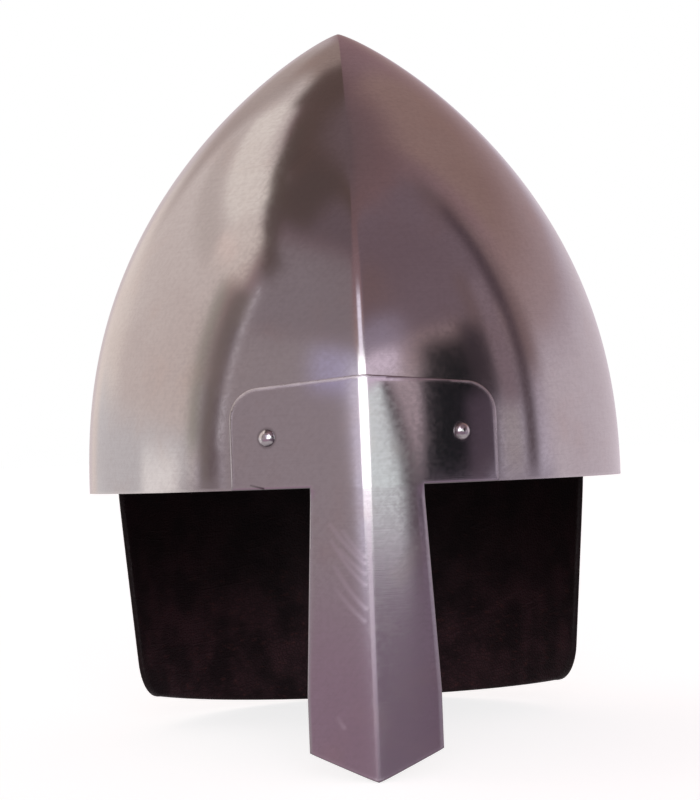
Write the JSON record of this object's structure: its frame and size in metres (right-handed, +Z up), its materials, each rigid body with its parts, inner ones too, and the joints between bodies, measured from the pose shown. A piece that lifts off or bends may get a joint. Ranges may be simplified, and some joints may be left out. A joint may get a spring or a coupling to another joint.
{
  "type": "nasal helmet with leather neck guard",
  "caption": "Pointed steel helmet with a front ridge, a riveted T-shaped nasal plate, and a leather guard hanging behind the neck.",
  "frame": {"origin": "centre of the head opening, in the plane of the rim", "axes": "+Z up through the point, -Y towards the face side that carries the nasal, +X to the right as seen from the front"},
  "size_m": [0.204, 0.2339, 0.2742],
  "materials": {
    "skull_steel": "satin hand-polished steel with fine hazy scratches and faint tarnish",
    "nasal_steel": "satin steel with file marks and diagonal scratches on the bar",
    "rivet_steel": "hammered domed heads, polished on top and dark round the edge",
    "neck_leather": "thick dark brown vegetable-tanned leather, nearly black, with a fine grain and burnished cut edges"
  },
  "bodies": {
    "root": {"skull": "skull_steel", "nasal": "nasal_steel", "nasal_rivet_1": "rivet_steel", "nasal_rivet_2": "rivet_steel", "neck_guard": "neck_leather", "neck_rivet_1": "rivet_steel", "neck_rivet_2": "rivet_steel", "neck_rivet_3": "rivet_steel", "neck_rivet_4": "rivet_steel", "neck_rivet_5": "rivet_steel"}
  },
  "joints": []
}
